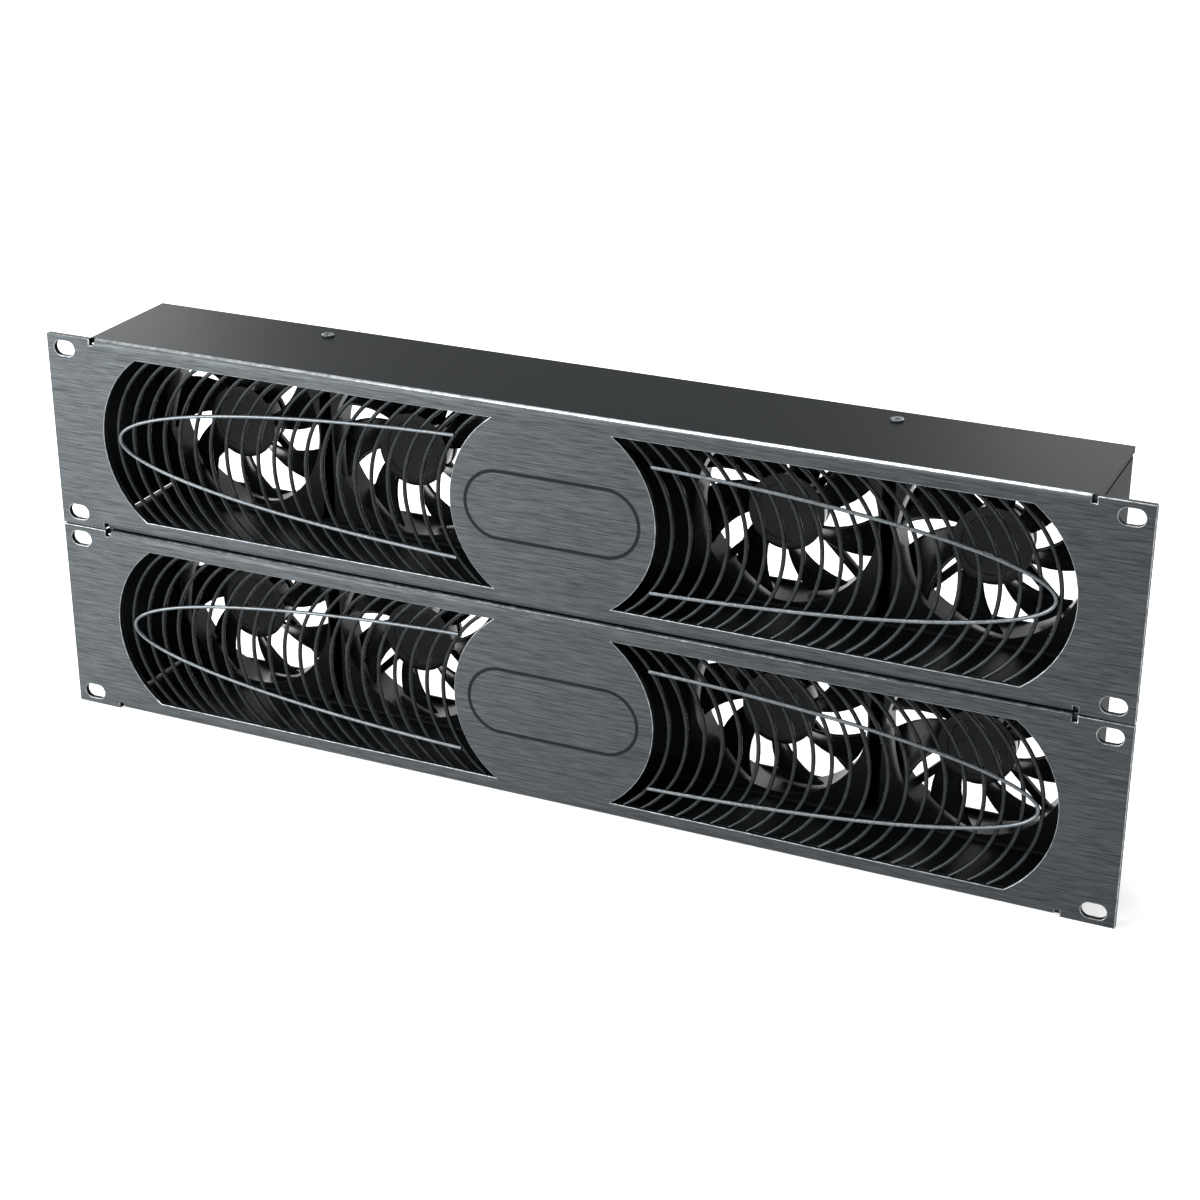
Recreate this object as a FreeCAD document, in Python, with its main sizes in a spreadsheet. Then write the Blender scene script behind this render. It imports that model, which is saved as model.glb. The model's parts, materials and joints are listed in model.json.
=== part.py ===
import FreeCAD, Part
import math
import os
import re
import Sketcher
from FreeCAD import Vector

# Two 19-inch rack fan panels, each two rack units high, one standing on the other.
#
# Each panel has its own local axes: X along the face, Y rearward from the front of the face,
# Z up from the underside. The assembly's origin is at the middle of its base.
# Lengths are in millimetres and angles in degrees.

SIZES = [
    # the panel and its two bent sheets
    ("panel_width", "482.6", "over the rack ears"),
    ("panel_height", "88.1", "two rack units less clearance"),
    ("ear_width", "21.3", "rack ear beyond the side plate"),
    ("body_depth", "58", "front of the face to back of the rear wall"),
    ("front_gauge", "2.5", "sheet of the front shell"),
    ("front_bend", "2.9", "outer radius of the front shell's bends"),
    ("relief_inset", "2.7", "outside of the side plate to the inner side of a bend relief"),
    ("relief_width", "2.2", "width of a bend relief"),
    ("rear_gauge", "1.2", "sheet of the rear shell"),
    ("flange_bend", "1.5", "outer radius of the rear shell's flange bends"),
    ("side_bend", "3", "outer radius of the rear shell's side bends"),
    ("flange_depth", "18", "rear shell's flanges, front to back"),
    ("corner_gap", "4", "end of a flange to the outside of the side plate"),
    ("side_gap", "1", "slit between a side plate and the plates above and below"),
    # rack slots
    ("slot_length", "10.3", "rack slot, end to end"),
    ("slot_width", "6.8", "rack slot height"),
    ("slot_end", "8.75", "end of the face to the centre of a slot"),
    ("slot_margin", "5.95", "top or bottom of the face to the centre of a slot"),
    # windows and their wire grilles
    ("sill", "6.75", "face above and below a window"),
    ("arc_radius", "46", "medallion ends, window ends and wires"),
    ("window_margin", "4.5", "outside of the side plate to the end of a window"),
    ("wire_width", "1.8", "upright wire across"),
    ("wire_depth", "1.6", "upright wire front to back"),
    ("wire_margin", "6.35", "end arc of a window to the nearest upright wire"),
    ("wire_count", "21", "upright wires in a window"),
    ("hairpin_margin", "8", "end of a window to the nose of the hairpin wire"),
    ("hairpin_inset", "9.7", "sill to the widest part of the hairpin's ellipse"),
    ("hairpin_width", "1.6", "hairpin wire across"),
    ("hairpin_depth", "1.5", "hairpin wire front to back"),
    # fans
    ("fan_fit", "0.35", "fan frame to the flanges above and below it"),
    ("fan_depth", "15", "fan frame front to back"),
    ("fan_corner", "4.5", "corner radius of the fan frame"),
    ("fan_side_gap", "9", "outside of the side plate to the outer fan"),
    ("fan_gap", "5.5", "between the two fans of a pair"),
    ("throat_wall", "1", "thinnest wall between the throat and the frame's side"),
    ("cutout_margin", "2.4", "fan cut-out in the rear wall beyond the throat"),
    ("cutout_land", "3.6", "fan frame's top to the flat top of the cut-out"),
    ("cutout_edge", "0.5", "fan frame's side to the flat side of the cut-out"),
    ("disc_radius", "14.3", "motor disc at the back of the fan frame"),
    ("disc_depth", "2.4", "thickness of the motor disc and the struts"),
    ("strut_width", "3.4", "strut of the fan frame"),
    ("bearing_depth", "1.8", "bearing bore in the motor disc"),
    ("shaft_radius", "1.5", "fan shaft"),
    ("running_fit", "0.03", "radial clearance of the shaft in its bearing"),
    ("shaft_end_gap", "0.3", "end of the shaft to the floor of its bearing"),
    ("cup_radius", "16.4", "front of the impeller cup"),
    ("cup_taper", "2.1", "how much the cup's radius shrinks to its back"),
    ("cup_gap", "1.9", "impeller cup to the motor disc"),
    ("cup_recess", "0.3", "front of the fan frame to the front of the cup"),
    ("blade_count", "7", "blades of an impeller"),
    ("tip_gap", "0.8", "blade tip to the throat"),
    ("blade_gauge", "1.2", "thickness of a blade along the axis"),
    ("blade_start", "1.4", "front of the fan frame to the blade's leading edge"),
    ("blade_gap", "0.8", "trailing edge to the struts"),
    ("root_depth", "0.7", "how deep a blade's root is sunk in the back of the cup"),
    # chassis screws
    ("screw_inset", "11", "back of the rear wall to the row of screws"),
    ("head_radius", "2.8", "screw head"),
    ("head_depth", "0.8", "low screw head, on which the upper panel stands"),
    ("screw_radius", "1.5", "screw thread"),
    ("hole_gap", "0.2", "radial clearance round a screw"),
    ("screw_grip", "1.5", "screw past the rear shell's flange"),
    # power inlet
    ("inlet_width", "27", "inlet housing"),
    ("inlet_height", "20", "inlet housing"),
    ("inlet_depth", "19", "inlet housing inside the rear wall"),
    ("inlet_corner", "5", "slanted lower corners of the inlet"),
    ("inlet_wall", "1.6", "wall of the inlet housing"),
    ("rim_margin", "2", "inlet rim beyond the cut-out"),
    ("rim_depth", "2", "inlet rim behind the rear wall"),
    ("pin_width", "2", "inlet pin across"),
    ("pin_height", "4", "inlet pin"),
    ("pin_length", "12", "inlet pin"),
    ("pin_spacing", "7", "between inlet pins"),
    ("pin_rise", "2", "middle inlet pin above the outer two"),
]

WIRE_STEPS = 6         # straight runs along an upright wire
HAIRPIN_STEPS = 18     # straight runs along the hairpin wire
HAIRPIN_SWEEP = 78     # half sweep of the hairpin's ellipse, in degrees
STRUTS = 4
STRUT_TILT = 45
# A blade's outline in degrees from the line it is padded along: from the root, up its trailing
# edge, round its tip and down its leading edge.
TRAILING = (63, 43)
TIP = (32, 21, 10, -1)
LEADING = (10, 27)
BLADE_SWEEP = 38       # from a blade's root back to the line it is padded along

# Lengths that follow from the sizes above and are used in several places.
FRONT = "-(body_depth + rim_depth) / 2"
MIDDLE = "panel_height / 2"
BODY = "(panel_width - 2 * ear_width)"
RELIEF = f"({BODY} / 2 - relief_inset)"
FLANGE = "(body_depth - flange_depth)"
WALL = "body_depth - rear_gauge"
WINDOW = "(panel_height - 2 * sill)"
WINDOW_END = f"({BODY} / 2 - window_margin)"
FAN = "(panel_height - 2 * (front_gauge + rear_gauge + fan_fit))"
OUTER_FAN = f"({BODY} / 2 - fan_side_gap - {FAN} / 2)"
INNER_FAN = f"({OUTER_FAN} - {FAN} - fan_gap)"
THROAT = f"({FAN} / 2 - throat_wall)"
BLADE_TIP = f"({THROAT} - tip_gap)"
DISC_FRONT = "(fan_depth - disc_depth)"
CUP_BACK = f"({DISC_FRONT} - cup_gap)"
BLADE_DROP = f"({DISC_FRONT} - blade_gap - blade_gauge - blade_start)"
PANELS = [("lower", "0"), ("upper", "panel_height + head_depth")]
FANS = [(1, f"-{OUTER_FAN}"), (2, f"-{INNER_FAN}"), (3, INNER_FAN), (4, OUTER_FAN)]
# Rest angle of each fan's impeller, from left to right.
TURNS = {"lower": (31, 2, 32, 13), "upper": (38, 23, 20, 3)}

doc = FreeCAD.newDocument("fan_panels")
sheet = doc.addObject("Spreadsheet::Sheet", "Sizes")
for row, (alias, value, meaning) in enumerate(SIZES, start=1):
    sheet.set(f"A{row}", alias)
    sheet.set(f"B{row}", value)
    sheet.set(f"C{row}", meaning)
    sheet.setAlias(f"B{row}", alias)
doc.recompute()
ALIASES = {alias for alias, value, meaning in SIZES}


def size(expression):
    """The number that an expression of sheet names stands for now."""
    return float(sheet.evalExpression(expression))


def bound(expression):
    """The expression with each sheet name written out for use in another object."""
    return re.sub(r"[a-z_]+", lambda word: ("Sizes." if word[0] in ALIASES else "") + word[0],
                  expression)


def tie(thing, path, expression):
    thing.setExpression(path, bound(expression))


def body(name, place=("0", FRONT, "0"), turn=0):
    """A new body whose local origin is at place; turn is about its Y axis."""
    made = doc.addObject("PartDesign::Body", name)
    made.Label = name
    made.Placement.Rotation = FreeCAD.Rotation(Vector(0, 1, 0), turn)
    for axis, expression in zip("xyz", place):
        tie(made, f"Placement.Base.{axis}", expression)
    return made


def origin_part(owner, role):
    return next(item for item in owner.Origin.OriginFeatures if item.Role == role)


def sketch(owner, role, offset="0", tilt=0):
    """A sketch on an origin plane, offset along the plane's normal."""
    drawing = owner.newObject("Sketcher::SketchObject", owner.Label + "_sketch")
    drawing.AttachmentSupport = [(origin_part(owner, role), "")]
    drawing.MapMode = "FlatFace"
    drawing.AttachmentOffset = FreeCAD.Placement(Vector(), FreeCAD.Rotation(Vector(0, 0, 1), tilt))
    tie(drawing, "AttachmentOffset.Base.z", offset)
    return drawing


def pin_point(drawing, edge, end, x, y):
    """Hold one end of an edge at the expressions x and y."""
    for kind, expression in (("DistanceX", x), ("DistanceY", y)):
        index = drawing.addConstraint(
            Sketcher.Constraint(kind, -1, 1, edge, end, size(expression)))
        tie(drawing, f"Constraints[{index}]", expression)


def outline(drawing, corners):
    """Draw a closed outline. A corner (x, y) starts a line and (x, y, radius, turn) an arc.

    turn is 1 where the arc turns left and -1 where it turns right.
    """
    first = drawing.GeometryCount
    spots = [Vector(size(corner[0]), size(corner[1]), 0) for corner in corners]
    ends = []
    for index, corner in enumerate(corners):
        here = spots[index]
        there = spots[(index + 1) % len(corners)]
        if len(corner) == 2:
            drawing.addGeometry(Part.LineSegment(here, there))
            ends.append((1, 2))
            continue
        radius = size(corner[2])
        turn = corner[3]
        chord = there - here
        left = Vector(-chord.y, chord.x, 0).normalize()
        rise = math.sqrt(max(radius ** 2 - chord.Length ** 2 / 4, 0))
        centre = (here + there) / 2 + left * turn * rise
        angles = [math.atan2(spot.y - centre.y, spot.x - centre.x) for spot in (here, there)]
        if turn < 0:
            angles.reverse()
        circle_of_arc = Part.Circle(centre, Vector(0, 0, 1), radius)
        drawing.addGeometry(Part.ArcOfCircle(circle_of_arc, *angles))
        ends.append((1, 2) if turn > 0 else (2, 1))
    for index, corner in enumerate(corners):
        edge = first + index
        after = (index + 1) % len(corners)
        drawing.addConstraint(Sketcher.Constraint(
            "Coincident", edge, ends[index][1], first + after, ends[after][0]))
        pin_point(drawing, edge, ends[index][0], corner[0], corner[1])
        if len(corner) > 2:
            held = drawing.addConstraint(Sketcher.Constraint("Radius", edge, size(corner[2])))
            tie(drawing, f"Constraints[{held}]", corner[2])


def box_outline(drawing, left, bottom, right, top):
    outline(drawing, [(left, bottom), (right, bottom), (right, top), (left, top)])


def circle(drawing, x, y, radius):
    edge = drawing.addGeometry(
        Part.Circle(Vector(size(x), size(y), 0), Vector(0, 0, 1), size(radius)))
    pin_point(drawing, edge, 3, x, y)
    held = drawing.addConstraint(Sketcher.Constraint("Radius", edge, size(radius)))
    tie(drawing, f"Constraints[{held}]", radius)


def slot(drawing, x, y, length, width):
    """A slot along X with round ends."""
    reach = f"(({length}) - ({width})) / 2"
    half = f"({width}) / 2"
    spots = [(f"{x} - {reach}", f"{y} - {half}"), (f"{x} + {reach}", f"{y} - {half}"),
             (f"{x} + {reach}", f"{y} + {half}"), (f"{x} - {reach}", f"{y} + {half}")]
    points = [Vector(size(across), size(up), 0) for across, up in spots]
    bottom = drawing.addGeometry(Part.LineSegment(points[0], points[1]))
    top = drawing.addGeometry(Part.LineSegment(points[2], points[3]))
    for edge, start in ((bottom, 0), (top, 2)):
        pin_point(drawing, edge, 1, *spots[start])
        pin_point(drawing, edge, 2, *spots[start + 1])
    for edge, other, start in ((bottom, top, 1), (top, bottom, 3)):
        centre = (points[start] + points[(start + 1) % 4]) / 2
        axis = Part.Circle(centre, Vector(0, 0, 1), size(half))
        begin = -math.pi / 2 if start == 1 else math.pi / 2
        arc = drawing.addGeometry(Part.ArcOfCircle(axis, begin, begin + math.pi))
        drawing.addConstraint(Sketcher.Constraint("Tangent", edge, 2, arc, 1))
        drawing.addConstraint(Sketcher.Constraint("Coincident", arc, 2, other, 1))


def pad(owner, drawing, length, backward=False, symmetric=False):
    """Pad a sketch along its normal, or against it."""
    made = owner.newObject("PartDesign::Pad", owner.Label + "_pad")
    made.Profile = drawing
    made.Reversed = backward
    made.SideType = "Symmetric" if symmetric else "One side"
    tie(made, "Length", length)
    return made


def pocket(owner, drawing, length, backward=False, symmetric=False):
    """Cut a sketch against its normal, or along it. The cut has to take something away."""
    doc.recompute()
    before = owner.Shape.Volume
    made = owner.newObject("PartDesign::Pocket", owner.Label + "_pocket")
    made.Profile = drawing
    made.Reversed = backward
    made.SideType = "Symmetric" if symmetric else "One side"
    tie(made, "Length", length)
    doc.recompute()
    if owner.Shape.Volume >= before:
        raise RuntimeError(f"a pocket of {owner.Label} cuts nothing")
    return made


def polar(owner, features, count, whole=False):
    """Repeat features, or the whole body so far, about the body's Y axis."""
    made = owner.newObject("PartDesign::PolarPattern", owner.Label + "_polar")
    if whole:
        made.TransformMode = "Whole shape"
    else:
        made.Originals = features
    made.Axis = (origin_part(owner, "Y_Axis"), [""])
    made.Angle = 360
    tie(made, "Occurrences", count)
    owner.Tip = made
    return made


def window_corners(side):
    """Corners of a window; side is 1 to the right of the medallion and -1 to its left."""
    run = f"sqrt(arc_radius ^ 2 - ({WINDOW} / 2) ^ 2)"
    near = f"{side} * {run}"
    far = f"{side} * ({WINDOW_END} - arc_radius + {run})"
    low = "sill"
    high = "panel_height - sill"
    return [(near, low), (far, low, "arc_radius", side), (far, high),
            (near, high, "arc_radius", -side)]


def screw_row(drawing, radius):
    """Two circles over the gaps between the fans of each pair."""
    for side in (-1, 1):
        circle(drawing, f"{side} * ({OUTER_FAN} + {INNER_FAN}) / 2",
               "body_depth - screw_inset", radius)


def front_shell(name, base):
    """Face with ears, windows and rack slots, bent back into the top and bottom plates."""
    made = body(name, ("0", FRONT, base))
    inner = "front_bend - front_gauge"
    section = sketch(made, "YZ_Plane")
    outline(section, [
        ("body_depth", "0"),
        ("front_bend", "0", "front_bend", -1),
        ("0", "front_bend"),
        ("0", "panel_height - front_bend", "front_bend", -1),
        ("front_bend", "panel_height"),
        ("body_depth", "panel_height"),
        ("body_depth", "panel_height - front_gauge"),
        ("front_bend", "panel_height - front_gauge", inner, 1),
        ("front_gauge", "panel_height - front_bend"),
        ("front_gauge", "front_bend", inner, 1),
        ("front_bend", "front_gauge"),
        ("body_depth", "front_gauge"),
    ])
    pad(made, section, BODY, symmetric=True)
    ears = sketch(made, "XZ_Plane")
    for side in (-1, 1):
        box_outline(ears, f"{side} * ({RELIEF} + relief_width)", "0",
                    f"{side} * panel_width / 2", "panel_height")
    pad(made, ears, "front_gauge", backward=True)
    reliefs = sketch(made, "XZ_Plane")
    for side in (-1, 1):
        for low, high in (("-front_bend", "front_bend"),
                          ("panel_height - front_bend", "panel_height + front_bend")):
            box_outline(reliefs, f"{side} * {RELIEF}", low,
                        f"{side} * ({RELIEF} + relief_width)", high)
    pocket(made, reliefs, "front_bend")
    windows = sketch(made, "XZ_Plane")
    for side in (-1, 1):
        outline(windows, window_corners(side))
    pocket(made, windows, "front_gauge")
    slots = sketch(made, "XZ_Plane")
    for side in (-1, 1):
        for level in (-1, 1):
            slot(slots, f"{side} * (panel_width / 2 - slot_end)",
                 f"{MIDDLE} + {level} * ({MIDDLE} - slot_margin)", "slot_length", "slot_width")
    pocket(made, slots, "front_gauge")
    holes = sketch(made, "XY_Plane", offset="panel_height")
    screw_row(holes, "screw_radius + hole_gap")
    pocket(made, holes, "front_gauge")
    return made


def cutout_corners(across):
    """Corners of a fan cut-out: a circle with four flats."""
    radius = f"({THROAT} + cutout_margin)"
    half_wide = f"({FAN} / 2 - cutout_edge)"
    half_high = f"({FAN} / 2 - cutout_land)"
    x = f"sqrt({radius} ^ 2 - {half_high} ^ 2)"
    z = f"sqrt({radius} ^ 2 - {half_wide} ^ 2)"
    spots = [(f"-{x}", f"-{half_high}"), (x, f"-{half_high}"), (half_wide, f"-{z}"),
             (half_wide, z), (x, half_high), (f"-{x}", half_high),
             (f"-{half_wide}", z), (f"-{half_wide}", f"-{z}")]
    corners = []
    for index, (offset, level) in enumerate(spots):
        corner = (f"{across} + {offset}", f"{MIDDLE} + {level}")
        if index % 2:
            corner += (radius, 1)
        corners.append(corner)
    return corners


def inlet_corners(shrink, margin="0"):
    """Outline of the power inlet about its own centre: a box with slanted lower corners."""
    half = f"(inlet_width / 2 - {shrink} + {margin})"
    rise = f"(inlet_height / 2 - {shrink} + {margin})"
    return [(f"-{half} + inlet_corner", f"-{rise}"), (f"{half} - inlet_corner", f"-{rise}"),
            (half, f"-{rise} + inlet_corner"), (half, rise),
            (f"-{half}", rise), (f"-{half}", f"-{rise} + inlet_corner")]


def rear_shell(name, base):
    """Rear wall bent forward into two flanges and two side plates."""
    made = body(name, ("0", FRONT, base))
    low = "front_gauge"
    high = "(panel_height - front_gauge)"
    inner = "flange_bend - rear_gauge"
    section = sketch(made, "YZ_Plane")
    outline(section, [
        (FLANGE, low),
        ("body_depth - flange_bend", low, "flange_bend", 1),
        ("body_depth", f"{low} + flange_bend"),
        ("body_depth", f"{high} - flange_bend", "flange_bend", 1),
        ("body_depth - flange_bend", high),
        (FLANGE, high),
        (FLANGE, f"{high} - rear_gauge"),
        ("body_depth - flange_bend", f"{high} - rear_gauge", inner, -1),
        (WALL, f"{high} - flange_bend"),
        (WALL, f"{low} + flange_bend", inner, -1),
        ("body_depth - flange_bend", f"{low} + rear_gauge"),
        (FLANGE, f"{low} + rear_gauge"),
    ])
    pad(made, section, f"{BODY} - 2 * corner_gap", symmetric=True)
    sides = sketch(made, "XY_Plane", offset=f"{low} + side_gap")
    for side in (-1, 1):
        stub = f"{side} * ({BODY} / 2 - corner_gap)"
        bend = f"{side} * ({BODY} / 2 - side_bend)"
        outside = f"{side} * {BODY} / 2"
        inside = f"{side} * ({BODY} / 2 - rear_gauge)"
        outline(sides, [
            (stub, "body_depth"),
            (bend, "body_depth", "side_bend", -side),
            (outside, "body_depth - side_bend"),
            (outside, "front_gauge"),
            (inside, "front_gauge"),
            (inside, "body_depth - side_bend", "side_bend - rear_gauge", side),
            (bend, WALL),
            (stub, WALL),
        ])
    pad(made, sides, "panel_height - 2 * front_gauge - 2 * side_gap")
    cutouts = sketch(made, "XZ_Plane", offset="-body_depth")
    for number, across in FANS:
        outline(cutouts, cutout_corners(across))
    outline(cutouts, [(across, f"{MIDDLE} + {level}") for across, level in inlet_corners("0")])
    pocket(made, cutouts, "rear_gauge", backward=True)
    holes = sketch(made, "XY_Plane", offset=high)
    screw_row(holes, "screw_radius + hole_gap")
    pocket(made, holes, "rear_gauge")
    return made


def upright_wires(name, base, side):
    """The upright wires of one window, all bent to the same arc and standing on the sills."""
    made = body(name, (f"{side} * wire_margin", FRONT, f"{base} + {MIDDLE}"))
    points = []
    for flank, steps in (("+", range(WIRE_STEPS + 1)), ("-", range(WIRE_STEPS, -1, -1))):
        for step in steps:
            level = f"{WINDOW} * {step / WIRE_STEPS - 0.5}"
            radius = f"(arc_radius {flank} wire_width / 2)"
            points.append((f"{side} * sqrt({radius} ^ 2 - ({level}) ^ 2)", level))
    section = sketch(made, "XZ_Plane", offset="-hairpin_depth")
    outline(section, points)
    wire = pad(made, section, "wire_depth", backward=True)
    row = made.newObject("PartDesign::LinearPattern", name + "_row")
    row.Originals = [wire]
    row.Direction = (origin_part(made, "X_Axis"), [""])
    row.Reversed = side < 0
    row.Mode = "Spacing"
    tie(row, "Offset", f"({WINDOW_END} - arc_radius - 2 * wire_margin) / (wire_count - 1)")
    tie(row, "Occurrences", "wire_count")
    made.Tip = row
    return made


def hairpin_wire(name, base, side):
    """The long half ellipse that lies in front of the upright wires."""
    made = body(name, ("0", FRONT, f"{base} + {MIDDLE}"))
    reach = f"{WINDOW_END} - hairpin_margin"
    rise = f"{WINDOW} / 2 - hairpin_inset"
    points = []
    for flank, direction in (("+", 1), ("-", -1)):
        for step in range(HAIRPIN_STEPS + 1):
            angle = direction * HAIRPIN_SWEEP * (2 * step / HAIRPIN_STEPS - 1)
            points.append((f"{side} * ({reach} {flank} hairpin_width / 2) * cos({angle} deg)",
                           f"({rise} {flank} hairpin_width / 2) * sin({angle} deg)"))
    section = sketch(made, "XZ_Plane")
    outline(section, points)
    pad(made, section, "hairpin_depth", backward=True)
    return made


def grille(name, base, side):
    group = doc.addObject("Part::Compound", name)
    group.Label = name
    group.Links = [upright_wires(name + "_uprights", base, side),
                   hairpin_wire(name + "_hairpin", base, side)]
    return group


def fan_frame(name, place):
    """Square fan frame with a round throat, and a motor disc on struts with a bearing bore."""
    made = body(name, place)
    half = f"{FAN} / 2"
    flat = f"({FAN} / 2 - fan_corner)"
    housing = sketch(made, "XZ_Plane")
    outline(housing, [
        (f"-{flat}", f"-{half}"), (flat, f"-{half}", "fan_corner", 1),
        (half, f"-{flat}"), (half, flat, "fan_corner", 1),
        (flat, half), (f"-{flat}", half, "fan_corner", 1),
        (f"-{half}", flat), (f"-{half}", f"-{flat}", "fan_corner", 1),
    ])
    circle(housing, "0", "0", THROAT)
    pad(made, housing, "fan_depth", backward=True)
    disc = sketch(made, "XZ_Plane", offset=f"-{DISC_FRONT}")
    circle(disc, "0", "0", "disc_radius")
    pad(made, disc, "disc_depth", backward=True)
    strut = sketch(made, "XZ_Plane", offset=f"-{DISC_FRONT}", tilt=STRUT_TILT)
    box_outline(strut, "disc_radius - throat_wall", "-strut_width / 2",
                f"{THROAT} + throat_wall", "strut_width / 2")
    arm = pad(made, strut, "disc_depth", backward=True)
    polar(made, [arm], str(STRUTS))
    bearing = sketch(made, "XZ_Plane", offset=f"-{DISC_FRONT}")
    circle(bearing, "0", "0", "shaft_radius + running_fit")
    pocket(made, bearing, "bearing_depth")
    return made


def blade_section(drawing):
    """A cambered blade seen from its tip: three flats from the leading edge to the trailing."""
    front = [(f"{BLADE_TIP} * sin({angle} deg)", f"blade_start + {BLADE_DROP} * {share}")
             for angle, share in ((35, 1.0), (21, 0.7), (9, 0.36), (-4, 0.0))]
    back = [(across, f"{depth} + blade_gauge") for across, depth in reversed(front)]
    outline(drawing, front + back)


def impeller(name, place, turn):
    """Forward-swept blades round a closed, tapered cup, which holds the motor."""
    made = body(name, place, turn - BLADE_SWEEP)
    section = sketch(made, "XY_Plane")
    blade_section(section)
    pad(made, section, THROAT)
    trim = sketch(made, "XZ_Plane")
    root = "(cup_radius - cup_taper - root_depth)"
    middle = f"((cup_radius + {THROAT}) / 2)"
    radii = (root, middle, *[BLADE_TIP] * len(TIP), middle, root)
    outline(trim, [(f"{radius} * sin({angle} deg)", f"{radius} * cos({angle} deg)")
                   for radius, angle in zip(radii, TRAILING + TIP + LEADING)])
    edge = f"2 * {THROAT}"
    box_outline(trim, f"-{edge}", f"-{edge}", edge, edge)
    pocket(made, trim, "fan_depth")
    polar(made, [], "blade_count", whole=True)
    profile = sketch(made, "YZ_Plane")
    outline(profile, [("cup_recess", "0"), (CUP_BACK, "0"), (CUP_BACK, "cup_radius - cup_taper"),
                      ("cup_recess", "cup_radius")])
    cup = made.newObject("PartDesign::Revolution", name + "_cup")
    cup.Profile = profile
    cup.ReferenceAxis = (origin_part(made, "Y_Axis"), [""])
    cup.Angle = 360
    return made


def shaft(name, place):
    """Shaft from the back of the cup into the bearing of the motor disc."""
    made = body(name, place)
    section = sketch(made, "XZ_Plane", offset=f"-{CUP_BACK}")
    circle(section, "0", "0", "shaft_radius")
    pad(made, section, "cup_gap + bearing_depth - shaft_end_gap", backward=True)
    return made


def chassis_screws(name, base):
    """Two low-headed screws through the top plate and the flange under it."""
    made = body(name, ("0", FRONT, base))
    heads = sketch(made, "XY_Plane", offset="panel_height")
    screw_row(heads, "head_radius")
    pad(made, heads, "head_depth")
    threads = sketch(made, "XY_Plane", offset="panel_height")
    screw_row(threads, "screw_radius")
    pad(made, threads, "front_gauge + rear_gauge + screw_grip", backward=True)
    return made


def power_inlet(name, base):
    """Snap-in power inlet: housing through the rear wall, rim behind it, open to the rear."""
    made = body(name, ("0", f"{FRONT} + body_depth", f"{base} + {MIDDLE}"))
    housing = sketch(made, "XZ_Plane")
    outline(housing, inlet_corners("0"))
    pad(made, housing, "inlet_depth")
    rim = sketch(made, "XZ_Plane")
    outline(rim, inlet_corners("0", "rim_margin"))
    pad(made, rim, "rim_depth", backward=True)
    socket = sketch(made, "XZ_Plane", offset="-rim_depth")
    outline(socket, inlet_corners("inlet_wall"))
    pocket(made, socket, "inlet_depth + rim_depth - inlet_wall", backward=True)
    return made


def inlet_pins(name, base):
    made = body(name, ("0", f"{FRONT} + body_depth", f"{base} + {MIDDLE}"))
    floor = sketch(made, "XZ_Plane", offset="inlet_depth - inlet_wall")
    for place, rise in ((-1, "0"), (0, "pin_rise"), (1, "0")):
        across = f"{place} * pin_spacing"
        box_outline(floor, f"{across} - pin_width / 2", f"{rise} - pin_height / 2",
                    f"{across} + pin_width / 2", f"{rise} + pin_height / 2")
    pad(made, floor, "pin_length", backward=True)
    return made


def panel(prefix, base):
    """All sub-parts of one panel."""
    made = [
        front_shell(f"{prefix}_front_shell", base),
        rear_shell(f"{prefix}_rear_shell", base),
        grille(f"{prefix}_grille_left", base, -1),
        grille(f"{prefix}_grille_right", base, 1),
        chassis_screws(f"{prefix}_chassis_screws", base),
        power_inlet(f"{prefix}_power_inlet", base),
        inlet_pins(f"{prefix}_inlet_pins", base),
    ]
    for (number, across), turn in zip(FANS, TURNS[prefix]):
        place = (across, f"{FRONT} + {WALL} - fan_depth", f"{base} + {MIDDLE}")
        made += [
            fan_frame(f"{prefix}_fan_frame_{number}", place),
            shaft(f"{prefix}_shaft_{number}", place),
            impeller(f"{prefix}_impeller_{number}", place, turn),
        ]
    return made


nodes = []
for prefix, base in PANELS:
    nodes += panel(prefix, base)
doc.recompute()

for item in doc.Objects:
    if "Invalid" in item.State or "Error" in item.State:
        raise RuntimeError(f"{item.Label} did not compute: {item.State}")
for node in nodes:
    if node.Shape.isNull() or not node.Shape.isValid() or not node.Shape.Solids:
        raise RuntimeError(f"{node.Label} has no valid shape")

os.makedirs("parts", exist_ok=True)
for node in nodes:
    node.Shape.exportStep(f"parts/{node.Label}.step")
    print(f"{node.Label}: {len(node.Shape.Solids)} solids, {node.Shape.Volume:.1f} mm3")
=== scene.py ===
import json
import math

import bpy
from bpy.props import FloatProperty, FloatVectorProperty, IntProperty, PointerProperty
from bpy.types import Operator, Panel, PropertyGroup
from mathutils import Matrix, Vector

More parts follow.
